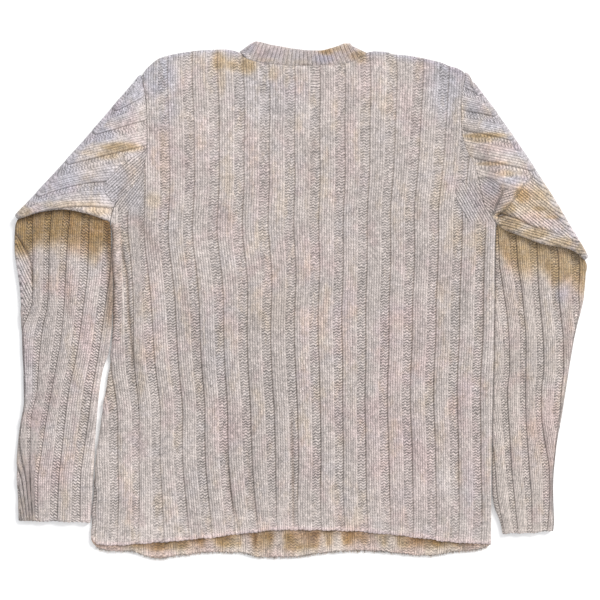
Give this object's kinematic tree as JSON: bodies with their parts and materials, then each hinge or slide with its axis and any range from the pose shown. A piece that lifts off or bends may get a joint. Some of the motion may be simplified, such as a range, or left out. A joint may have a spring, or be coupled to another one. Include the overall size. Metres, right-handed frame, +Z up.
{
  "type": "darned wool sweater laid flat",
  "caption": "Crew-neck wool jumper in a broad rib, laid flat with its back up, both sleeves folded under at the shoulder and turned down beside the body.",
  "frame": {"origin": "centre of the garment's outline, on the surface that it lies on", "axes": "+Z up from the surface through the layers, front below and back on top; +Y towards the neck; -X towards the wearer's left sleeve"},
  "size_m": [0.7858, 0.7072, 0.0154],
  "materials": {
    "wool_front": "matt",
    "wool_back": "matt",
    "wool_sleeve_left": "matt",
    "wool_sleeve_right": "matt",
    "wool_neckband": "matt"
  },
  "bodies": {
    "root": {"front_panel": "wool_front", "back_panel": "wool_back", "sleeve_left": "wool_sleeve_left", "sleeve_right": "wool_sleeve_right", "neckband": "wool_neckband"}
  },
  "joints": []
}
